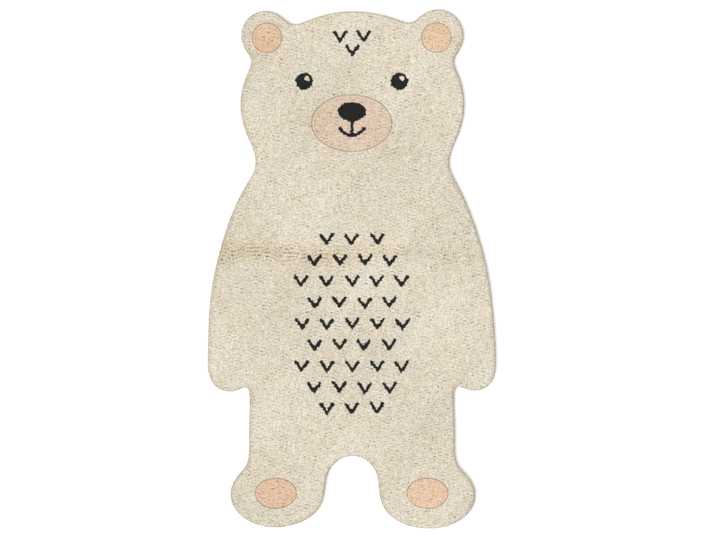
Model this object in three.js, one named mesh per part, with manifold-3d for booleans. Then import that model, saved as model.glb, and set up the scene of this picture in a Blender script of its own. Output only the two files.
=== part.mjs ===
// A bear-shaped rug for a child's room: one piece of cloth with a short, dense pile, cut to a standing bear.
// Millimetres, +Z up. The rug lies flat on the floor, face up, with its head towards +Y.
// The origin is on the floor under the middle of the rug.
import * as THREE from 'three';
import { mergeVertices } from 'three/addons/utils/BufferGeometryUtils.js';
import Module from 'manifold-3d';

// The cut, measured up from the line of the feet and out from the middle line.
const LENGTH = 1622;
const HALF_WIDTH = 451;
const GAP = { halfWidth: 84, top: 232 };
const FOOT = { x: 236, halfWidth: 150, halfHeight: 108, ankleAngle: 0.7 };
const LEG = { outerX: 322, top: 268, ankleBend: 40 };
const PAW = { radius: 70, x: HALF_WIDTH - 70, y: 492 };
const SHOULDER = { fullness: 240, slopeX: 108, slopeY: 150 };
const NECK = { x: 304, y: 1112, bendX: 12, bendY: 24 };
const CHEEK = { angle: -0.4, bendX: 20, bendY: 36 };
const HEAD = { halfWidth: 348, halfHeight: 292, middleY: LENGTH - 300 };
const EAR = { radius: 84, x: 268, y: LENGTH - 84 };

// Ground cloth and pile together, and how the pile rounds over at its edge.
const THICKNESS = 16;
const RIM = { height: 11, inset: 10, steps: 3, overTop: 1.3, underFloor: 2 };

// The fields that a narrow groove is carved round: the muzzle, the inner ears and the foot pads.
const CARVED_FIELDS = [
  { x: 0, y: 1264, halfWidth: 125, halfHeight: 88, steps: 40 },
  { x: -264, y: 1530, halfWidth: 46, halfHeight: 46, steps: 24 },
  { x: 264, y: 1530, halfWidth: 46, halfHeight: 46, steps: 24 },
  { x: -236, y: 112, halfWidth: 64, halfHeight: 47, steps: 28 },
  { x: 236, y: 112, halfWidth: 64, halfHeight: 47, steps: 28 },
];

// The ring that carves the groove. Its middle is above the pile, so the groove is 7 mm wide and 4 mm deep.
const GROOVE_RING = { halfWidth: 4.6, halfHeight: 5.4, raised: 1.2, sides: 4 };

// How the hand-cut edge wanders: cycles round the whole edge, how far it moves, and where it starts.
const EDGE_WANDER = [
  { cycles: 3, depth: 2.6, start: 0.6 },
  { cycles: 8, depth: 1.6, start: 2.1 },
  { cycles: 17, depth: 0.8, start: 4.0 },
];

// How the pile's top swells and sinks: wavelengths across and along, height, and where it starts.
const SWELLS = [
  { across: 610, along: 830, height: 0.7, start: 0.4 },
  { across: -290, along: 370, height: 0.45, start: 1.9 },
];

// The crease that folding left across the chest. It wanders, and is deepest towards the rug's right arm.
const CREASE = { y: 54, wander: 9, wavelength: 420, halfWidth: 26, depth: 3, faintShare: 0.35 };

// Spacing of the points along the edge, and of the lines across the pile's top.
const EDGE_STEP = 16;
const EDGE_ROUNDING = 4;
const TOP_STEP = 32;
const CREASE_LINES = { gather: 0.55, reach: 90 };

/** The point on the head's ellipse at an angle from the middle of the head. */
function onHead(angle) {
  const x = HEAD.halfWidth * Math.cos(angle);
  const y = HEAD.middleY + HEAD.halfHeight * Math.sin(angle);
  return new THREE.Vector2(x, y);
}

/** The two angles on the head's ellipse where the ear's circle crosses it, the lower one first. */
function earRoots() {
  const ear = new THREE.Vector2(EAR.x, EAR.y);
  const steps = 720;
  const inside = [];
  for (let i = 0; i <= steps; i++) {
    const angle = (i / steps) * (Math.PI / 2);
    if (onHead(angle).distanceTo(ear) < EAR.radius) inside.push(angle);
  }
  return [inside[0], inside[inside.length - 1]];
}

/** Round the foot from its inner side, over the ankle and up the outside of the leg. */
function addLeg(path) {
  const { x, halfWidth, halfHeight, ankleAngle } = FOOT;
  path.absellipse(x, halfHeight, halfWidth, halfHeight, -Math.PI, ankleAngle, false, 0);
  const ankle = path.currentPoint.clone();
  const bend = LEG.ankleBend;
  path.bezierCurveTo(ankle.x - bend, ankle.y + bend / 2, LEG.outerX, LEG.top - bend, LEG.outerX, LEG.top);
}

/** Round the paw that hangs beside the hip, and up the arm to the neck. */
function addArm(path) {
  const hipAngle = -Math.acos((LEG.outerX - PAW.x) / PAW.radius);
  path.absarc(PAW.x, PAW.y, PAW.radius, hipAngle, 0, false);
  const shoulderX = NECK.x + SHOULDER.slopeX;
  const shoulderY = NECK.y - SHOULDER.slopeY;
  path.bezierCurveTo(HALF_WIDTH, PAW.y + SHOULDER.fullness, shoulderX, shoulderY, NECK.x, NECK.y);
}

/** Round the cheek, over the ear and up to the crown. */
function addHead(path) {
  const cheek = onHead(CHEEK.angle);
  const bendX = cheek.x - CHEEK.bendX;
  const bendY = cheek.y - CHEEK.bendY;
  path.bezierCurveTo(NECK.x - NECK.bendX, NECK.y + NECK.bendY, bendX, bendY, cheek.x, cheek.y);

  const [lowRoot, highRoot] = earRoots();
  const low = onHead(lowRoot);
  const high = onHead(highRoot);
  const lowAngle = Math.atan2(low.y - EAR.y, low.x - EAR.x);
  const highAngle = Math.atan2(high.y - EAR.y, high.x - EAR.x);
  path.absellipse(0, HEAD.middleY, HEAD.halfWidth, HEAD.halfHeight, CHEEK.angle, lowRoot, false, 0);
  path.absarc(EAR.x, EAR.y, EAR.radius, lowAngle, highAngle, false);
  path.absellipse(0, HEAD.middleY, HEAD.halfWidth, HEAD.halfHeight, highRoot, Math.PI / 2, false, 0);
}

/** The right half of the edge, from the top of the gap between the legs up to the crown. */
function rightHalf() {
  const path = new THREE.Path();
  path.moveTo(0, GAP.top);
  path.absarc(0, GAP.top - GAP.halfWidth, GAP.halfWidth, Math.PI / 2, 0, true);
  addLeg(path);
  addArm(path);
  addHead(path);
  return path;
}

/** Each pass moves every point halfway to the middle of its neighbours, which rounds the corners. */
function softened(points, passes) {
  let soft = points;
  for (let pass = 0; pass < passes; pass++) {
    soft = soft.map((point, i) => {
      const before = soft[(i + soft.length - 1) % soft.length];
      const after = soft[(i + 1) % soft.length];
      return point.clone().multiplyScalar(2).add(before).add(after).divideScalar(4);
    });
  }
  return soft;
}

/** Each point of a closed edge, moved out or in by the edge's wander. */
function wandering(points) {
  return points.map((point, i) => {
    const before = points[(i + points.length - 1) % points.length];
    const after = points[(i + 1) % points.length];
    const along = after.clone().sub(before).normalize();
    const outward = new THREE.Vector2(along.y, -along.x);
    const turn = (2 * Math.PI * i) / points.length;
    let move = 0;
    for (const wave of EDGE_WANDER) move += wave.depth * Math.sin(wave.cycles * turn + wave.start);
    return point.clone().addScaledVector(outward, move);
  });
}

/** The whole edge as a closed loop, with the origin in the middle of its bounding box. */
function edge() {
  const path = rightHalf();
  const right = path.getSpacedPoints(Math.round(path.getLength() / EDGE_STEP));
  const left = right.slice(1, -1).reverse().map((point) => new THREE.Vector2(-point.x, point.y));
  const loop = wandering(softened([...right, ...left], EDGE_ROUNDING));
  const middle = new THREE.Box2().setFromPoints(loop).getCenter(new THREE.Vector2());
  return loop.map((point) => point.sub(middle));
}

/** Where the crease runs at a place across the rug. */
function creaseAt(x) {
  return CREASE.y + CREASE.wander * Math.sin((2 * Math.PI * x) / CREASE.wavelength);
}

/** Height of the pile's top above the floor. */
function pileTop(x, y) {
  let height = THICKNESS;
  for (const swell of SWELLS) {
    height += swell.height * Math.sin(2 * Math.PI * (x / swell.across + y / swell.along) + swell.start);
  }
  const off = (y - creaseAt(x)) / CREASE.halfWidth;
  const towardsRightArm = 0.5 - 0.5 * Math.tanh((2 * x) / HALF_WIDTH);
  const share = CREASE.faintShare + (1 - CREASE.faintShare) * towardsRightArm;
  return height - CREASE.depth * share * Math.exp(-off * off);
}

/** Brings evenly spaced lines closer together beside the crease, and makes them follow it. */
function gathered(x, y) {
  const off = y - CREASE.y;
  const pull = CREASE_LINES.gather * Math.exp(-((off / CREASE_LINES.reach) ** 2));
  return y - pull * off + creaseAt(x) - CREASE.y;
}

/** A block larger than the rug, flat below and with the pile's uneven top. */
function pileBlock() {
  const width = 2 * HALF_WIDTH + 2 * TOP_STEP;
  const length = LENGTH + 2 * TOP_STEP;
  const columns = Math.round(width / TOP_STEP);
  const rows = Math.round(length / TOP_STEP);
  const block = new THREE.BoxGeometry(width, length, THICKNESS, columns, rows, 1);
  const position = block.getAttribute('position');
  for (let i = 0; i < position.count; i++) {
    const x = position.getX(i);
    const y = gathered(x, position.getY(i));
    const isTop = position.getZ(i) > 0;
    position.setXYZ(i, x, y, isTop ? pileTop(x, y) : 0);
  }
  return block;
}

/** A ring of diamond section along the edge of a coloured field, to carve the groove with. */
function grooveRing(field, feetY) {
  const { halfWidth, halfHeight, raised, sides } = GROOVE_RING;
  const ring = new THREE.TorusGeometry(field.halfWidth, halfWidth, sides, field.steps);
  const position = ring.getAttribute('position');
  for (let i = 0; i < position.count; i++) {
    const turn = Math.atan2(position.getY(i), position.getX(i));
    const cos = Math.cos(turn);
    const sin = Math.sin(turn);
    const aside = Math.hypot(position.getX(i), position.getY(i)) - field.halfWidth;
    const outward = new THREE.Vector2(cos / field.halfWidth, sin / field.halfHeight).normalize();
    const x = field.x + field.halfWidth * cos + aside * outward.x;
    const y = feetY + field.y + field.halfHeight * sin + aside * outward.y;
    const lift = raised + (position.getZ(i) * halfHeight) / halfWidth;
    position.setXYZ(i, x, y, pileTop(x, y) + lift);
  }
  return ring;
}

/** The rug's edge carried straight up, with the shoulder of the pile rounded over at the top. */
function edgeWall(loop) {
  const capTop = THICKNESS + RIM.overTop;
  const below = RIM.height + RIM.underFloor;
  const wall = new THREE.ExtrudeGeometry(new THREE.Shape(loop), {
    depth: capTop - RIM.height + below,
    bevelEnabled: true,
    bevelThickness: RIM.height,
    bevelSize: RIM.inset,
    bevelOffset: -RIM.inset,
    bevelSegments: RIM.steps,
  });
  wall.translate(0, 0, -below);
  return wall;
}

/** A closed geometry as a solid that can be cut. */
function toSolid(wasm, geometry) {
  geometry.deleteAttribute('normal');
  geometry.deleteAttribute('uv');
  const merged = mergeVertices(geometry);
  const mesh = new wasm.Mesh({
    numProp: 3,
    vertProperties: merged.getAttribute('position').array,
    triVerts: new Uint32Array(merged.index.array),
  });
  return new wasm.Manifold(mesh);
}

/** A cut solid as a geometry that can be shown. */
function toGeometry(solid) {
  const { vertProperties, triVerts } = solid.getMesh();
  const geometry = new THREE.BufferGeometry();
  geometry.setAttribute('position', new THREE.BufferAttribute(vertProperties, 3));
  geometry.setIndex(new THREE.BufferAttribute(triVerts, 1));
  geometry.computeVertexNormals();
  return geometry;
}

const wasm = await Module();
wasm.setup();

const outline = edge();
const feetY = new THREE.Box2().setFromPoints(outline).min.y;
let rugSolid = toSolid(wasm, pileBlock()).intersect(toSolid(wasm, edgeWall(outline)));
for (const field of CARVED_FIELDS) {
  const carver = toSolid(wasm, grooveRing(field, feetY));
  rugSolid = rugSolid.subtract(carver);
}

const creamPile = new THREE.MeshStandardMaterial({ color: '#ddd4c0', roughness: 0.95, metalness: 0 });
const rug = new THREE.Mesh(toGeometry(rugSolid), creamPile);
rug.name = 'rug';

const bearRug = new THREE.Group();
bearRug.add(rug);

export default bearRug;
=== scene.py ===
"""A bear-shaped rug with a short cotton pile: a ground cloth with its hem, and the tufts that stand on it.

Lengths in the tables are in millimetres, but those of the bumps, the floor, the lamp and the camera are in
metres. Blender's objects are in metres, in the frame's own axes: +Z up from the floor, and +Y towards the
bear's head.
"""

import math
from collections import namedtuple

import bpy
import numpy as np
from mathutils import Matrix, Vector
from mathutils.bvhtree import BVHTree
from mathutils.geometry import delaunay_2d_cdt


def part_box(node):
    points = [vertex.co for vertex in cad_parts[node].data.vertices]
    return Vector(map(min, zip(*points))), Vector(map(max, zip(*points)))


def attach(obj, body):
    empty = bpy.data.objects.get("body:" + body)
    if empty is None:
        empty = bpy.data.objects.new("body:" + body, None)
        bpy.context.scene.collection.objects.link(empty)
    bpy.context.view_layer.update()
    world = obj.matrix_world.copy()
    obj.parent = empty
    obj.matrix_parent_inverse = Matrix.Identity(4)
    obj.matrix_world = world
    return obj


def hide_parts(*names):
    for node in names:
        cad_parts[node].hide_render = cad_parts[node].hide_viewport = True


MM = 0.001
SMALL = 1e-6
SEED = 41

# The rug as the scene needs it: half its width, the y of its feet and of its crown, its edge on the floor,
# and a function that gives its top's height at any place
Rug = namedtuple("Rug", "half_width low_y high_y edge heights")

# Faces lower than this lie on the floor. Corners that agree to a step are one, and this many points are
# measured at once.
ON_FLOOR = 0.01
STEPS_PER_MM = 100
POINTS_AT_ONCE = 2000

# The ground cloth stops a little inside the pile. Its hem is turned under, so the rest is just off the floor.
CLOTH_THICKNESS = 2.0
CLOTH_INSET = 3.6
CLOTH_ROUNDING = 0.6
CLOTH_GRID = 35
HEM_WIDTH = 14
HEM_THICKNESS = 1.0
HEM_STEP = 0.8

# Rows of tufts run across the rug. Here and there two of them stand closer and lean together, and which two
# changes from place to place.
ROW_PITCH = 5.3
PAIR_SHIFT = 0.42
TUFT_PITCH = 5.2
JITTER = (0.65, 0.5)
ROW_DRIFT = 0.1
ROW_WAVE = 1.5
ROW_WAVELENGTH = 330
ROW_PHASE = 0.3
ROW_TURN = 0.02
ROW_HEIGHT = 0.15

# One tuft: its shape, where it leaves the cloth, how far its tip leans, and how unevenly it is cut
TUFT_SIDES = 5
TUFT_ACROSS = 0.88
TUFT_ALONG = 0.8
TUFT_SIZES = (0.9, 1.12)
RING_REACHES = (0.86, 1.12)
RING_LIFT = 0.3
ROOT_Z = 1.2
LEAN_RANDOM = (0.9, 0.7)
LEAN_PAIR = 0.45
LEAN_NAP = 0.9
CUT_UNEVEN = 0.52
FARTHEST = 1.7

# Rows that follow a line: which line, how far the roots and the tips are inside it, the pitch, and how much
# painted shade darkens their tone. Two follow the edge, with painted shade where it faces sideways, and the
# outer one leans out over the hem. One lies in each carved groove, darkened by painted shade, with one on
# either side of it.
LineRow = namedtuple("LineRow", "line root tip pitch shade")
LINE_ROWS = (
    LineRow("edge", 5.2, 2.4, 5.0, 0.85),
    LineRow("edge", 9.6, 8.2, 5.0, 0.35),
    LineRow("groove", 0, 0, 4.0, 0.3),
    LineRow("groove", -5.0, -5.0, 5.2, 0),
    LineRow("groove", 5.0, 5.0, 5.2, 0),
    LineRow("field", 2.7, 2.7, 5.0, 0),
    LineRow("stroke", -2.4, -2.4, 4.8, 0),
    LineRow("stroke", 2.4, 2.4, 4.8, 0),
)
OUTER_ROW = 0
ROWS_ACROSS = LineRow("across", 0, 0, TUFT_PITCH, 0)
LINE_JITTER = 0.1
LINE_PAIRING = 0.11
LINE_LEAN = 0.4
OVAL_STEPS = 96

# Tips that lean out past the solid stand this share of its height above the floor
RIM_TOP = 0.8

# The rows across stop short of those that follow a line
RIM_CLEAR = 11.0
GROOVE_CLEAR = 7.8
FIELD_CLEAR = 4.0
STROKE_CLEAR = 5.1

# A tuft's two rings and its tip: how far below the tip, the half width and how much light reaches it,
# first in the field and then in the outer row. Its depths are warmer too, by these powers of the light.
Ring = namedtuple("Ring", "drop wide light rim_drop rim_wide rim_light")
SHOULDER = Ring(3.7, 6.7, 0.825, 5.6, 3.9, 0.66)
CROWN = Ring(0.8, 2.8, 0.97, 1.4, 2.7, 0.88)
TIP = Ring(0, 0, 1.0, 0, 0, 0.95)
ROOT_LIGHT = 0.46
DEEP_TINT = (1, 1.12, 1.4)

# Long waves over the rug: wavelengths across and along, share and start
Wave = namedtuple("Wave", "across along share start")
NAP_ACROSS = (Wave(520, 900, 0.6, 0.3), Wave(-230, 310, 0.4, 2.2))
NAP_ALONG = (Wave(700, -640, 0.6, 1.1), Wave(260, 210, 0.4, 4.0))
TONE_PATCHES = (Wave(900, 700, 0.5, 0.9), Wave(-340, 480, 0.3, 2.8), Wave(150, -210, 0.2, 5.1))
PAIRING = (
    Wave(34, 410, 0.6, 0.4),
    Wave(-27, 170, 0.6, 2.0),
    Wave(45, -96, 0.5, 4.1),
    Wave(-38, -63, 0.4, 5.5),
)
ROW_WAVERING = (Wave(64, 150, 0.8, 0.0), Wave(-43, 96, 0.6, 2.0), Wave(31, -70, 0.5, 4.0))
WARM_PATCHES = (Wave(-420, 260, 0.6, 0.2), Wave(190, 330, 0.5, 3.3), Wave(120, -150, 0.4, 1.2))

# Yarns: the record's slot, the linear colours of the darkest and the lightest tuft, and the sheen
Yarn = namedtuple("Yarn", "slot dark light sheen")
YARNS = {
    "cream": Yarn("cream_pile", (0.58, 0.522, 0.418), (0.882, 0.832, 0.718), 0.2),
    "blush": Yarn("blush_pile", (0.62, 0.473, 0.358), (0.835, 0.704, 0.58), 0.2),
    "peach": Yarn("peach_pile", (0.67, 0.463, 0.32), (0.865, 0.665, 0.498), 0.2),
    "black": Yarn("black_pile", (0.007, 0.007, 0.007), (0.024, 0.022, 0.023), 0.06),
}

# A tuft's tone, from 0 for the darkest to 1 for the lightest
TONE_MIDDLE = 0.5
TONE_SPREAD = 0.172
TONE_PATCH = 0.13
# Painted shade: how much darker the tufts are where they part at the crease
CREASE_PAINTED_SHADE = 0.42

# What full warmth takes from a yarn's red, green and blue, how warm all tufts are, and what the patches add
WARM_LOSS = (0.01, 0.065, 0.14)
WARM_MIDDLE = 0.16
WARM_PATCH = 0.22
WARM_STEPS = 6

# The map of colours has a column of tones for each step of warmth, and its height is the light. The start and
# the span of each are given, and the spread keeps each face's spot from shrinking to a point.
MAP_TONES = (0.08, 0.84)
MAP_LIGHTS = (0.02, 0.95)
MAP_SPREAD = 0.004
COLOUR_MAP = "OFBake"
TINT = "Yarn"

# The cream pile is made in five meshes from feet to head: the name, and where it starts above the feet
CREAM_BANDS = (
    ("pile_legs", 0),
    ("pile_hips", 330),
    ("pile_belly", 600),
    ("pile_chest", 850),
    ("pile_head", 1130),
)

# Coloured fields, with y measured up from the feet. A later one covers an earlier one.
Oval = namedtuple("Oval", "yarn x y half_width half_height grooved")
OVALS = (
    Oval("blush", 0, 1264, 125, 88, True),
    Oval("peach", -264, 1530, 46, 46, True),
    Oval("peach", 264, 1530, 46, 46, True),
    Oval("peach", -236, 112, 64, 47, True),
    Oval("peach", 236, 112, 64, 47, True),
    Oval("black", 0, 1300, 44, 29, False),
    Oval("black", -148, 1394, 26, 26, False),
    Oval("black", 148, 1394, 26, 26, False),
    Oval("cream", -140, 1403, 7.5, 7.5, False),
    Oval("cream", 156, 1403, 7.5, 7.5, False),
)
FIELD_SLACK = 0.5

# The mouth: a stem below the nose and one shallow curve
MOUTH_STEM = {"top": 1272, "bottom": 1230}
MOUTH_CURVE = {"y": 1270, "radius": 44, "half_turn": 62, "steps": 10}

# Small V marks in a half-drop layout over the belly, and three between the ears
MARK = {"half_width": 19, "half_height": 14, "loose": 2.0}
BELLY = {"y": 640, "half_width": 190, "half_height": 300, "across": 78, "along": 66}
CROWN_MARKS = ((-38, 1534), (38, 1534), (0, 1492))
STROKE_REACH = 3.8

# The crease that folding left across the chest, strongest at the rug's right arm: where it runs, how far it
# shows, and how the tufts part along wavering lines beside it. Each wave of those lines has a wavelength, a
# share of the pitch and a start.
CREASE = {"y": 48, "wander": 9, "wavelength": 420, "reach": 32, "faint": 0.32, "fade": 2}
PARTING = {
    "reach": 30,
    "pitch": 12,
    "near": 3.4,
    "shift": 1.6,
    "lean": 1.8,
    "lower": 2.1,
    "size": 0.82,
    "broken": 0.22,
}
PARTING_BREAKS = (Wave(37, 160, 0.3, 0.7), Wave(-23, 31, 0.3, 3.1))
PARTING_WAVES = ((210, 1.1, 0.4), (74, 0.4, 1.0), (31, 0.12, 2.0))

# Matt cotton yarn with fine fibres
YARN_LOOK = {"Roughness": 0.95, "Specular IOR Level": 0.2, "Sheen Roughness": 0.6}
FIBRES = {"Scale": 1400, "Detail": 2}
FIBRE_BUMP = {"Strength": 0.5, "Distance": 0.0006}

# Unbleached cotton cloth: its threads, and slow patches of shade that are added to the threads' own
CLOTH_LOOK = {"Roughness": 0.92, "Specular IOR Level": 0.2}
THREADS = {"Scale": 150, "Distortion": 1.5, "Detail": 1}
THREAD_SHARE = 0.8
THREAD_BUMP = {"Strength": 0.7, "Distance": 0.0005}
CLOTH_SHADES = {"Scale": 7, "Detail": 4}
CLOTH_DARKEST = 0.2
CLOTH_COLOURS = ((0.54, 0.46, 0.34, 1), (0.74, 0.66, 0.52, 1))

# A plain white floor, just under the cloth so that the two don't touch
FLOOR_HALF = 60
FLOOR_BELOW = 0.0002
FLOOR_LOOK = {
    "Base Color": (0.93, 0.93, 0.93, 1),
    "Roughness": 0.9,
    "Emission Color": (1, 1, 1, 1),
    "Emission Strength": 0.15,
}

# Soft light from all round and from one wide lamp
SKY_STRENGTH = 0.855
LAMP = {"angle": 35, "energy": 1.2, "place": (-2.2, -1.2, 3.6)}

# The photograph's view: straight down from high up, a little to one side
CAMERA_PLACE = (0.019, -0.003, 6.0)
VIEW_WIDTH = 2.234
SENSOR_WIDTH = 36


def read_edge(node):
    """The rug's edge on the floor as a closed loop of (x, y), counterclockwise from above."""
    places = np.array([v.co for v in node.data.vertices]) / MM
    keys = [tuple(key) for key in np.round(places * STEPS_PER_MM).astype(int)]
    open_edges = set()
    for polygon in node.data.polygons:
        corners = list(polygon.vertices)
        if places[corners, 2].max() > ON_FLOOR:
            continue
        for a, b in zip(corners, corners[1:] + corners[:1]):
            forth, back = (keys[a], keys[b]), (keys[b], keys[a])
            if back in open_edges:
                open_edges.remove(back)
            else:
                open_edges.add(forth)
    follow = dict(open_edges)
    loop = [next(iter(sorted(follow)))]
    while follow[loop[-1]] != loop[0]:
        loop.append(follow[loop[-1]])
    return np.array(loop)[::-1, :2] / STEPS_PER_MM


def from_edge(points, loop):
    """How far each point lies inside the loop, negative outside, and the direction out to the edge."""
    ends = np.roll(loop, -1, axis=0)
    sides = ends - loop
    lengths = (sides**2).sum(1)
    depths, outward = [], []
    for some in np.array_split(points, len(points) // POINTS_AT_ONCE + 1):
        offsets = some[:, None] - loop[None]
        along = ((offsets * sides).sum(2) / lengths).clip(0, 1)
        gaps = offsets - along[..., None] * sides
        far = np.sqrt((gaps**2).sum(2))
        nearest = far.argmin(1)
        pick = np.arange(len(some))
        crosses = (loop[:, 1] > some[:, 1:2]) != (ends[:, 1] > some[:, 1:2])
        rise = np.where(sides[:, 1] == 0, 1, sides[:, 1])
        at_x = loop[:, 0] + (some[:, 1:2] - loop[:, 1]) * sides[:, 0] / rise
        inside = (crosses & (some[:, :1] < at_x)).sum(1) % 2 == 1
        sign = np.where(inside, 1, -1)
        nearest_far = far[pick, nearest]
        depths.append(nearest_far * sign)
        outward.append(-gaps[pick, nearest] / np.maximum(nearest_far, SMALL)[:, None] * sign[:, None])
    return np.concatenate(depths), np.concatenate(outward)


def height_finder(node, otherwise):
    """A function that gives the CAD solid's top above the floor at each (x, y), in millimetres."""
    mesh = node.data
    corners = [list(polygon.vertices) for polygon in mesh.polygons]
    tree = BVHTree.FromPolygons([v.co for v in mesh.vertices], corners)
    down = Vector((0, 0, -1))

    def heights(points):
        found = []
        for x, y in points * MM:
            hit = tree.ray_cast(Vector((x, y, 1)), down)[0]
            found.append(hit.z / MM if hit else otherwise)
        return np.array(found)

    return heights


def read_rug():
    """What the scene needs to know of the CAD solid."""
    low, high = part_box("rug")
    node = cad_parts["rug"]
    top = high.z / MM
    return Rug(high.x / MM, low.y / MM, high.y / MM, read_edge(node), height_finder(node, RIM_TOP * top))


def slow_waves(points, waves):
    """A sum of long sine waves over the rug."""
    total = np.zeros(len(points))
    for wave in waves:
        cycles = points[:, 0] / wave.across + points[:, 1] / wave.along
        total += wave.share * np.sin(2 * np.pi * cycles + wave.start)
    return total


def crease_at(points, rug):
    """How far each point is above the crease's line, and how strong the crease is on its line there."""
    x = points[:, 0]
    line = CREASE["y"] + CREASE["wander"] * np.sin(2 * np.pi * x / CREASE["wavelength"])
    towards_right = 0.5 - 0.5 * np.tanh(CREASE["fade"] * x / rug.half_width)
    return points[:, 1] - line, CREASE["faint"] + (1 - CREASE["faint"]) * towards_right


def above_parting(points):
    """How far each point is above the nearest of the lines along which the tufts part at the crease."""
    cycles = points[:, 1] / PARTING["pitch"]
    for wavelength, share, start in PARTING_WAVES:
        cycles = cycles + share * np.sin(2 * np.pi * points[:, 0] / wavelength + start)
    return (cycles - np.round(cycles)) * PARTING["pitch"]


def crease_marks(points, rug):
    """How much the crease warms each point, how strongly the tufts part there, and to which side."""
    off, strength = crease_at(points, rug)
    warmed = strength * np.exp(-((off / CREASE["reach"]) ** 2))
    above = above_parting(points)
    parted = strength * np.exp(-((off / PARTING["reach"]) ** 2) - (above / PARTING["near"]) ** 2)
    parted *= (1 - PARTING["broken"] + slow_waves(points, PARTING_BREAKS)).clip(0, 1)
    return warmed, parted, np.sign(above)


def beyond_oval(points, oval, rug):
    """How far each point is outside the oval along its ray from the middle, and negative inside."""
    off = points - (oval.x, rug.low_y + oval.y)
    reach = np.sqrt(((off / (oval.half_width, oval.half_height)) ** 2).sum(1)).clip(SMALL)
    return np.linalg.norm(off, axis=1) * (1 - 1 / reach)


def round_oval(oval, rug):
    """The oval's outline as a closed loop, counterclockwise."""
    turn = np.arange(OVAL_STEPS) * 2 * np.pi / OVAL_STEPS
    x = oval.x + oval.half_width * np.cos(turn)
    return np.stack([x, rug.low_y + oval.y + oval.half_height * np.sin(turn)], 1)


def from_stroke(points, stroke):
    """How far each point is from a stroke, drawn through the given places."""
    nearest = np.full(len(points), np.inf)
    for a, b in zip(stroke[:-1], stroke[1:]):
        along = ((points - a) @ (b - a) / ((b - a) @ (b - a))).clip(0, 1)
        gap = points - a - along[:, None] * (b - a)
        nearest = np.minimum(nearest, np.linalg.norm(gap, axis=1))
    return nearest


def mark_strokes(rug, rng):
    """The V marks as lines of places."""
    places = list(CROWN_MARKS)
    rows = int(BELLY["half_height"] / BELLY["along"])
    columns = int(BELLY["half_width"] / BELLY["across"]) + 1
    for row in range(-rows, rows + 1):
        for column in range(-columns, columns + 1):
            x = (column + 0.5 * (row % 2)) * BELLY["across"]
            y = row * BELLY["along"]
            if (x / BELLY["half_width"]) ** 2 + (y / BELLY["half_height"]) ** 2 <= 1:
                places.append((x, BELLY["y"] + y))
    loose = rng.uniform(-MARK["loose"], MARK["loose"], (len(places), 2))
    middles = np.array(places) + loose + (0, rug.low_y)
    wide, high = MARK["half_width"], MARK["half_height"]
    return [middle + ((-wide, high), (0, -high), (wide, high)) for middle in middles]


def mouth_strokes(rug):
    """The mouth's stem and curve as lines of places."""
    stem = np.array([(0, MOUTH_STEM["top"]), (0, MOUTH_STEM["bottom"])])
    turn = np.radians(MOUTH_CURVE["half_turn"]) * np.linspace(-1, 1, MOUTH_CURVE["steps"] + 1)
    radius = MOUTH_CURVE["radius"]
    curve = np.stack([radius * np.sin(turn), MOUTH_CURVE["y"] - radius * np.cos(turn)], 1)
    return [stem + (0, rug.low_y), curve + (0, rug.low_y)]


def dye(points, rug, strokes):
    """The yarn of each tuft by name, from where its tip is."""
    yarns = np.full(len(points), "cream", dtype="<U5")
    for oval in OVALS:
        yarns[beyond_oval(points, oval, rug) < FIELD_SLACK] = oval.yarn
    for stroke in strokes:
        yarns[from_stroke(points, stroke) < STROKE_REACH] = "black"
    return yarns


def clear_of_lines(points, rug, strokes):
    """Which points leave room for the rows that follow a line."""
    keep = from_edge(points, rug.edge)[0] > RIM_CLEAR
    in_field = next(row.root for row in LINE_ROWS if row.line == "field")
    for oval in OVALS:
        beyond = beyond_oval(points, oval, rug)
        keep &= np.abs(beyond) > GROOVE_CLEAR if oval.grooved else np.abs(beyond + in_field) > FIELD_CLEAR
    for stroke in strokes:
        keep &= from_stroke(points, stroke) > STROKE_CLEAR
    return keep


def scatter(rng, spread, shape):
    """Random offsets around zero, none of them very far from it."""
    return rng.normal(0, 1, shape).clip(-FARTHEST, FARTHEST) * spread


def lay_rows(rug, strokes, rng):
    """The places of the tufts in rows across the rug, how far each is paired, and its row's height."""
    rows = np.arange(int(rug.low_y / ROW_PITCH) - 1, int(rug.high_y / ROW_PITCH) + 2)
    half_row = int(rug.half_width / TUFT_PITCH) + 1
    row, column = np.meshgrid(rows, np.arange(-half_row, half_row + 1), indexing="ij")
    x = (column + 0.5 * (row % 2)) * TUFT_PITCH + scatter(rng, JITTER[0], row.shape)
    drift = rng.normal(0, ROW_DRIFT, len(rows))[:, None]
    phase = rng.uniform(-ROW_PHASE, ROW_PHASE, len(rows))[:, None]
    wave = ROW_WAVE * np.sin(2 * np.pi * x / ROW_WAVELENGTH + phase + ROW_TURN * row)
    y = row * ROW_PITCH + drift + wave + scatter(rng, JITTER[1], row.shape)
    row_height = ROW_HEIGHT * rng.normal(0, 1, len(rows)).clip(-1, 1)[:, None] + 0 * x
    points = np.stack([x.ravel(), y.ravel()], 1)
    pairing = np.where(row.ravel() % 2 == 0, 1, -1) * slow_waves(points, PAIRING)
    points[:, 1] += slow_waves(points, ROW_WAVERING) + pairing * PAIR_SHIFT
    keep = clear_of_lines(points, rug, strokes)
    return points[keep], pairing[keep], row_height.ravel()[keep]


def sideways(line, along, distance):
    """The line moved to its left by a small distance, where along is its direction at each place."""
    along = along / np.linalg.norm(along, axis=1)[:, None]
    return line + distance * np.stack([-along[:, 1], along[:, 0]], 1)


def inset(loop, distance):
    """The closed counterclockwise loop moved in by a small distance."""
    return sideways(loop, np.roll(loop, -1, axis=0) - np.roll(loop, 1, axis=0), distance)


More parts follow.
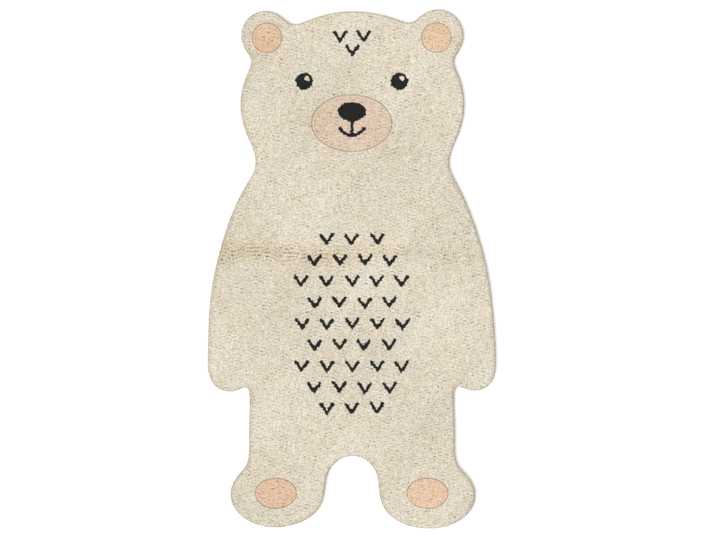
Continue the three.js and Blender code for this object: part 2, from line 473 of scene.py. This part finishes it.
def row_along(line, pitch, rng):
    """The places of a row of tufts along a line, in loose pairs."""
    run = np.concatenate([[0], np.cumsum(np.linalg.norm(np.diff(line, axis=0), axis=1))])
    count = max(2, round(run[-1] / pitch))
    number = np.arange(count)
    paired = number + 0.5 + np.where(number % 2 == 0, LINE_PAIRING, -LINE_PAIRING)
    stops = (paired + rng.uniform(-LINE_JITTER, LINE_JITTER, count)) / count * run[-1]
    return np.stack([np.interp(stops, run, line[:, i]) for i in range(2)], 1)


def line_rows(rug, strokes, rng):
    """The places of all the tufts in rows that follow a line, and the number of each one's kind of row."""
    loops = {
        "edge": [rug.edge],
        "groove": [round_oval(oval, rug) for oval in OVALS if oval.grooved],
        "field": [round_oval(oval, rug) for oval in OVALS if not oval.grooved],
    }
    places, kinds = [], []
    for kind, row in enumerate(LINE_ROWS):
        if row.line == "stroke":
            lines = [sideways(stroke, np.gradient(stroke, axis=0), row.root) for stroke in strokes]
        else:
            lines = [inset(loop, row.root) for loop in loops[row.line]]
            lines = [np.vstack([line, line[:1]]) for line in lines]
        for line in lines:
            places.append(row_along(line, row.pitch, rng))
            kinds.append(np.full(len(places[-1]), kind))
    return np.concatenate(places), np.concatenate(kinds)


def tuft_roots(rug, strokes, rng):
    """Where all the tufts stand, how far each is paired, its row's height, and its kind of row by number."""
    across, pairing, row_height = lay_rows(rug, strokes, rng)
    along_lines, kinds = line_rows(rug, strokes, rng)
    even = np.zeros(len(kinds))
    points = np.concatenate([across, along_lines])
    kinds = np.append(np.full(len(across), len(LINE_ROWS)), kinds)
    return points, np.append(pairing, even), np.append(row_height, even), kinds


def from_rows(field, kinds):
    """One of the fields of each tuft's kind of row."""
    return np.array([getattr(row, field) for row in (*LINE_ROWS, ROWS_ACROSS)])[kinds]


def leans(points, pairing, away, outward, kinds, rng):
    """How far each tuft's tip is aside of its root."""
    lean = np.stack([slow_waves(points, NAP_ACROSS), slow_waves(points, NAP_ALONG)], 1) * LEAN_NAP
    lean += scatter(rng, LEAN_RANDOM, points.shape)
    lean[:, 1] += PARTING["lean"] * away + pairing * LEAN_PAIR
    lean[kinds < len(LINE_ROWS)] *= LINE_LEAN
    return lean + outward * (from_rows("root", kinds) - from_rows("tip", kinds))[:, None]


def tones(points, parted, outward, kinds, rng):
    """Each tuft's tone, from dark to light, less painted shade at the crease, the edge and the grooves."""
    own = rng.normal(0, TONE_SPREAD, len(points))
    tone = TONE_MIDDLE + TONE_PATCH * slow_waves(points, TONE_PATCHES) + own
    sideways_facing = np.where(from_rows("line", kinds) == "edge", np.abs(outward[:, 0]), 1)
    # Painted shade: darker where the tufts part at the crease, and in the rows along the edge and the grooves
    tone -= CREASE_PAINTED_SHADE * parted + from_rows("shade", kinds) * sideways_facing
    return tone.clip(0, 1)


Tufts = namedtuple("Tufts", "roots tips size at_rim tone warmth yarn")


def chosen(tufts, mask):
    """Some of the tufts."""
    return Tufts(*(column[mask] for column in tufts))


def plant(rug, rng):
    """Every tuft of the rug: its root and tip, its size, its tone and warmth, and its yarn."""
    strokes = [*mouth_strokes(rug), *mark_strokes(rug, rng)]
    points, pairing, row_height, kinds = tuft_roots(rug, strokes, rng)
    warmed, parted, side = crease_marks(points, rug)
    parted[kinds < len(LINE_ROWS)] = 0
    away = parted * side
    points[:, 1] += PARTING["shift"] * away
    outward = from_edge(points, rug.edge)[1]

    tips = points + leans(points, pairing, away, outward, kinds, rng)
    top = rug.heights(tips) - np.abs(scatter(rng, CUT_UNEVEN, len(points)))
    top -= row_height + PARTING["lower"] * parted
    size = rng.uniform(*TUFT_SIZES, len(points)) * (1 - (1 - PARTING["size"]) * parted)
    tone = tones(points, parted, outward, kinds, rng)
    warmth = warmed + WARM_MIDDLE + WARM_PATCH * slow_waves(points, WARM_PATCHES)
    roots = np.column_stack([points, np.full(len(points), ROOT_Z)])
    yarn = dye(tips, rug, strokes)
    tips = np.column_stack([tips, top])
    return Tufts(roots, tips, size, kinds == OUTER_ROW, tone, warmth.clip(0, 1), yarn)


def tuft_places(tufts, rng):
    """The places of every tuft's vertices: a pointed root, two rings and a rounded tip."""
    count = len(tufts.roots)
    turn = rng.uniform(0, 2 * np.pi, count)[:, None] + np.arange(TUFT_SIDES) * 2 * np.pi / TUFT_SIDES
    axis = tufts.tips - tufts.roots
    rings = []
    for ring in (SHOULDER, CROWN):
        drop = np.where(tufts.at_rim, ring.rim_drop, ring.drop)
        wide = np.where(tufts.at_rim, ring.rim_wide, ring.wide)
        middle = tufts.tips - axis * (drop / axis[:, 2])[:, None]
        reach = (wide * tufts.size)[:, None] * rng.uniform(*RING_REACHES, turn.shape)
        lift = rng.uniform(-RING_LIFT, RING_LIFT, turn.shape)
        x, y = TUFT_ACROSS * reach * np.cos(turn), TUFT_ALONG * reach * np.sin(turn)
        rings.append(middle[:, None] + np.stack([x, y, lift], 2))
    return np.concatenate([tufts.roots[:, None], *rings, tufts.tips[:, None]], 1)


def tuft_faces(count):
    """The triangles of that many tufts, each a closed lump."""
    around = np.arange(TUFT_SIDES)
    onward = (around + 1) % TUFT_SIDES
    low, high, tip = 1, 1 + TUFT_SIDES, 1 + 2 * TUFT_SIDES
    one = np.concatenate(
        [
            np.stack([0 * around, low + onward, low + around], 1),
            np.stack([low + around, low + onward, high + onward], 1),
            np.stack([low + around, high + onward, high + around], 1),
            np.stack([high + around, high + onward, 0 * around + tip], 1),
        ]
    )
    return (np.arange(count)[:, None, None] * (tip + 1) + one[None]).reshape(-1, 3)


def tuft_lights(tufts):
    """How much light reaches each vertex of each tuft, from its root up to its tip."""
    at_rim = tufts.at_rim[:, None]
    columns = [np.full(at_rim.shape, ROOT_LIGHT)]
    for ring, repeats in ((SHOULDER, TUFT_SIDES), (CROWN, TUFT_SIDES), (TIP, 1)):
        columns.append(np.repeat(np.where(at_rim, ring.rim_light, ring.light), repeats, 1))
    return np.concatenate(columns, 1)


def tuft_colours(tufts, lights, step, yarn):
    """The colour of each vertex of each tuft."""
    warm = 1 - (step / (WARM_STEPS - 1))[:, None] * WARM_LOSS
    dark, light = np.array(yarn.dark), np.array(yarn.light)
    colour = (dark + (light - dark) * tufts.tone[:, None]) * warm
    colours = np.ones((*lights.shape, 4))
    colours[..., :3] = colour[:, None] * lights[..., None] ** DEEP_TINT
    return colours.reshape(-1, 4)


def map_spots(tufts, lights, step):
    """The spot of each vertex of each tuft on the map of colours."""
    corner = np.concatenate([[0], np.arange(2 * TUFT_SIDES), [0]]) * 2 * np.pi / TUFT_SIDES
    tones_start, tones_span = MAP_TONES
    lights_start, lights_span = MAP_LIGHTS
    across = (step + tones_start + tones_span * tufts.tone)[:, None] / WARM_STEPS
    across = across + MAP_SPREAD * np.cos(corner)
    up = lights_start + lights_span * lights + MAP_SPREAD * np.sin(corner)
    return np.stack([across, up], 2).reshape(-1, 2)


def tuft_mesh(name, tufts, yarn, rng):
    """One joined mesh of tufts, with its colours and its map of colours."""
    places = tuft_places(tufts, rng)
    lights = tuft_lights(tufts)
    step = np.floor(tufts.warmth * (WARM_STEPS - 1) + rng.random(len(places)))
    colours = tuft_colours(tufts, lights, step, yarn)
    spots = map_spots(tufts, lights, step)
    return make_mesh(name, places.reshape(-1, 3) * MM, tuft_faces(len(places)), colours, spots)


def make_mesh(name, places, faces, colours, spots):
    """A smooth mesh object from arrays of places, triangles, colours and map spots, one for each vertex."""
    mesh = bpy.data.meshes.new(name)
    mesh.vertices.add(len(places))
    mesh.vertices.foreach_set("co", places.astype(np.float32).ravel())
    mesh.loops.add(faces.size)
    mesh.loops.foreach_set("vertex_index", faces.astype(np.int32).ravel())
    mesh.polygons.add(len(faces))
    mesh.polygons.foreach_set("loop_start", np.arange(0, faces.size, 3, dtype=np.int32))
    mesh.update(calc_edges=True)
    mesh.shade_smooth()
    tint = mesh.color_attributes.new(name=TINT, type="FLOAT_COLOR", domain="POINT")
    tint.data.foreach_set("color", colours.astype(np.float32).ravel())
    layer = mesh.uv_layers.new(name=COLOUR_MAP)
    layer.uv.foreach_set("vector", spots[faces.ravel()].astype(np.float32).ravel())
    return show(name, mesh)


def show(name, mesh):
    """A new object in the scene with this mesh."""
    piece = bpy.data.objects.new(name, mesh)
    bpy.context.scene.collection.objects.link(piece)
    return piece


def set_inputs(node, values):
    """Sets a node's own sockets by name."""
    for name, value in values.items():
        node.inputs[name].default_value = value


def new_material(name, look):
    """A new material with this look, its nodes and links, and its shader."""
    material = bpy.data.materials.new(name)
    material.use_nodes = True
    nodes, links = material.node_tree.nodes, material.node_tree.links
    shader = nodes["Principled BSDF"]
    set_inputs(shader, look)
    return material, nodes, links, shader


def own_places(nodes):
    """The coordinates of the object itself."""
    return nodes.new("ShaderNodeTexCoord").outputs["Object"]


def noise(nodes, links, place, values):
    """The value of a noise texture."""
    texture = nodes.new("ShaderNodeTexNoise")
    set_inputs(texture, values)
    links.new(place, texture.inputs["Vector"])
    return texture.outputs["Fac"]


def add_bump(nodes, links, shader, height, values):
    """Gives the shader a bump from a height."""
    bump = nodes.new("ShaderNodeBump")
    set_inputs(bump, values)
    links.new(height, bump.inputs["Height"])
    links.new(bump.outputs["Normal"], shader.inputs["Normal"])


def yarn_material(yarn):
    """Matt cotton yarn in the colours that the tufts carry, with fine fibres along it."""
    look = {**YARN_LOOK, "Sheen Weight": yarn.sheen}
    material, nodes, links, shader = new_material(yarn.slot, look)
    tint = nodes.new("ShaderNodeVertexColor")
    tint.layer_name = TINT
    links.new(tint.outputs["Color"], shader.inputs["Base Color"])
    add_bump(nodes, links, shader, noise(nodes, links, own_places(nodes), FIBRES), FIBRE_BUMP)
    return material


def weave(nodes, links, place):
    """The height of plain-woven cloth: two sets of threads that cross."""
    height = nodes.new("ShaderNodeMath")
    height.operation = "MULTIPLY"
    for i, direction in enumerate(("X", "Y")):
        thread = nodes.new("ShaderNodeTexWave")
        thread.bands_direction = direction
        set_inputs(thread, THREADS)
        links.new(place, thread.inputs["Vector"])
        links.new(thread.outputs["Fac"], height.inputs[i])
    return height.outputs["Value"]


def weave_material():
    """Unbleached plain-woven cotton, for the ground cloth."""
    material, nodes, links, shader = new_material("ground_cloth", CLOTH_LOOK)
    place = own_places(nodes)
    height = weave(nodes, links, place)
    tone = nodes.new("ShaderNodeMath")
    tone.operation = "MULTIPLY_ADD"
    tone.inputs[1].default_value = THREAD_SHARE
    links.new(height, tone.inputs[0])
    links.new(noise(nodes, links, place, CLOTH_SHADES), tone.inputs[2])
    ramp = nodes.new("ShaderNodeValToRGB")
    ramp.color_ramp.elements[0].position = CLOTH_DARKEST
    for element, colour in zip(ramp.color_ramp.elements, CLOTH_COLOURS):
        element.color = colour
    links.new(tone.outputs["Value"], ramp.inputs["Fac"])
    links.new(ramp.outputs["Color"], shader.inputs["Base Color"])
    add_bump(nodes, links, shader, height, THREAD_BUMP)
    return material


def fill(loop):
    """Places on a grid inside a closed loop, and the triangles that join the loop's places and these."""
    grid = np.mgrid[tuple(slice(start, stop, CLOTH_GRID) for start, stop in zip(loop.min(0), loop.max(0)))]
    grid = grid.reshape(2, -1).T
    inner = grid[from_edge(grid, loop)[0] > CLOTH_GRID / 2]
    places = [Vector(place) for place in np.vstack([loop, inner])]
    sides = [(i, (i + 1) % len(loop)) for i in range(len(loop))]
    within_sides = 1
    _, _, triangles, came_from, _, _ = delaunay_2d_cdt(places, sides, [], within_sides, SMALL)
    return inner, np.array([[came_from[corner][0] for corner in triangle] for triangle in triangles])


def cloth_section():
    """The hem and the cloth's edge in section: how far in from the pile's edge, and the height."""
    hem_edge = CLOTH_INSET + HEM_WIDTH
    top = HEM_THICKNESS + CLOTH_THICKNESS
    return (
        (hem_edge + HEM_STEP, HEM_THICKNESS),
        (hem_edge, 0),
        (CLOTH_INSET + CLOTH_ROUNDING, 0),
        (CLOTH_INSET, CLOTH_ROUNDING),
        (CLOTH_INSET, top - CLOTH_ROUNDING),
        (CLOTH_INSET + CLOTH_ROUNDING, top),
    )


def ground_cloth(rug, material):
    """The ground cloth as one closed sheet: its underside, the hem that is turned under, and its top."""
    section = cloth_section()
    loops = [inset(rug.edge, distance) for distance, _ in section]
    count = len(rug.edge)
    places = [np.column_stack([loop, np.full(count, height)]) for loop, (_, height) in zip(loops, section)]
    faces = []
    for start in range(0, (len(loops) - 1) * count, count):
        for i in range(count):
            j = (i + 1) % count
            faces.append((start + i, start + j, start + count + j, start + count + i))
    for level, turned in ((0, -1), (len(loops) - 1, 1)):
        inner, triangles = fill(loops[level])
        inner_start = sum(len(some) for some in places)
        triangles = np.where(triangles < count, triangles + level * count, triangles - count + inner_start)
        faces += triangles[:, ::turned].tolist()
        places.append(np.column_stack([inner, np.full(len(inner), section[level][1])]))
    mesh = bpy.data.meshes.new("rug_cloth")
    mesh.from_pydata((np.vstack(places) * MM).tolist(), [], faces)
    mesh.materials.append(material)
    return show("rug_cloth", mesh)


def pile(rug):
    """All the tufts, as one mesh for each band of cream and each colour."""
    rng = np.random.default_rng(SEED)
    tufts = plant(rug, rng)
    above_feet = tufts.roots[:, 1] - rug.low_y
    starts = [start for _, start in CREAM_BANDS[1:]]
    band = np.searchsorted(starts, above_feet, side="right")
    groups = [(name, "cream", band == i) for i, (name, _) in enumerate(CREAM_BANDS)]
    groups += [(f"pile_{yarn}", yarn, True) for yarn in ("blush", "peach", "black")]
    materials = {name: yarn_material(yarn) for name, yarn in YARNS.items()}
    pieces = []
    for name, yarn, where in groups:
        piece = tuft_mesh(name, chosen(tufts, (tufts.yarn == yarn) & where), YARNS[yarn], rng)
        piece.data.materials.append(materials[yarn])
        pieces.append(piece)
    return pieces


def build_rug():
    """The ground cloth with the pile on it, in the CAD solid's place."""
    rug = read_rug()
    tufts = pile(rug)
    cloth = ground_cloth(rug, weave_material())
    for piece in [*tufts, cloth]:
        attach(piece, "root")
        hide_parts("rug")


def white_floor():
    """A plain white floor under the rug."""
    corners = [(x * FLOOR_HALF, y * FLOOR_HALF, 0) for x, y in ((-1, -1), (1, -1), (1, 1), (-1, 1))]
    mesh = bpy.data.meshes.new("floor")
    mesh.from_pydata(corners, [], [(0, 1, 2, 3)])
    mesh.materials.append(new_material("floor_white", FLOOR_LOOK)[0])
    floor = show("floor", mesh)
    floor.location.z = -FLOOR_BELOW


def studio_light():
    """Soft light from all round, a little stronger from the lower left."""
    scene = bpy.context.scene
    scene.view_settings.view_transform = "Standard"
    world = bpy.data.worlds.new("studio")
    world.use_nodes = True
    set_inputs(world.node_tree.nodes["Background"], {"Color": (1, 1, 1, 1), "Strength": SKY_STRENGTH})
    scene.world = world

    sun = bpy.data.lights.new("key", "SUN")
    sun.angle = math.radians(LAMP["angle"])
    sun.energy = LAMP["energy"]
    lamp = bpy.data.objects.new("key", sun)
    lamp.location = LAMP["place"]
    lamp.rotation_euler = (-lamp.location).to_track_quat("-Z", "Y").to_euler()
    scene.collection.objects.link(lamp)


def photo_camera():
    """The photograph's camera, looking straight down."""
    view = bpy.data.cameras.new("camera")
    view.sensor_width = SENSOR_WIDTH
    view.lens = SENSOR_WIDTH * CAMERA_PLACE[2] / VIEW_WIDTH
    camera = bpy.data.objects.new("camera", view)
    camera.location = CAMERA_PLACE
    bpy.context.scene.collection.objects.link(camera)
    bpy.context.scene.camera = camera


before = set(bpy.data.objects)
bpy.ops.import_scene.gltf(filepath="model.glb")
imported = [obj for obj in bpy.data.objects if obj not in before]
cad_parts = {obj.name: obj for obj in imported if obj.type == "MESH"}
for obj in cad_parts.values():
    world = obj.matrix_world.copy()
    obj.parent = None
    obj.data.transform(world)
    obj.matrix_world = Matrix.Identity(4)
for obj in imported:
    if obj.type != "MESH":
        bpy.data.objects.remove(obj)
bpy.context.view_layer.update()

build_rug()
white_floor()
studio_light()
photo_camera()
